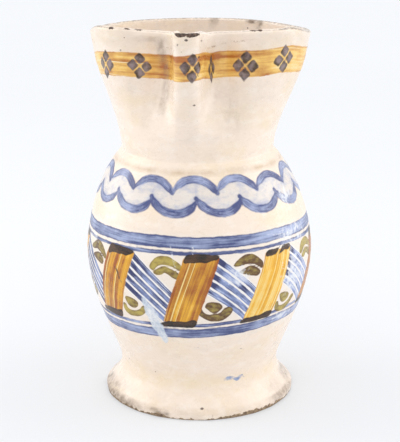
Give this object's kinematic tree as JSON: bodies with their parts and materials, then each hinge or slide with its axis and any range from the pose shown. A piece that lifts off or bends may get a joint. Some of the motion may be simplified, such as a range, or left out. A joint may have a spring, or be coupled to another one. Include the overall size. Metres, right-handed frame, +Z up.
{
  "type": "jug",
  "caption": "Thrown earthenware pouring jug with a pinched spout, round belly, spreading foot and strap handle, tin-glazed cream and hand-painted in blue, ochre and olive.",
  "frame": {"origin": "on the jug's axis, in the plane of its flat underside", "axes": "+Z up along the jug's axis, -Y towards the spout, +Y towards the handle, +X to the right of someone who looks at the spout"},
  "size_m": [0.1482, 0.1861, 0.2462],
  "materials": {
    "tin_glaze": "glossy cream tin glaze on earthenware, painted in blue, ochre, olive and brown"
  },
  "bodies": {
    "root": {"jug": "tin_glaze"}
  },
  "joints": []
}
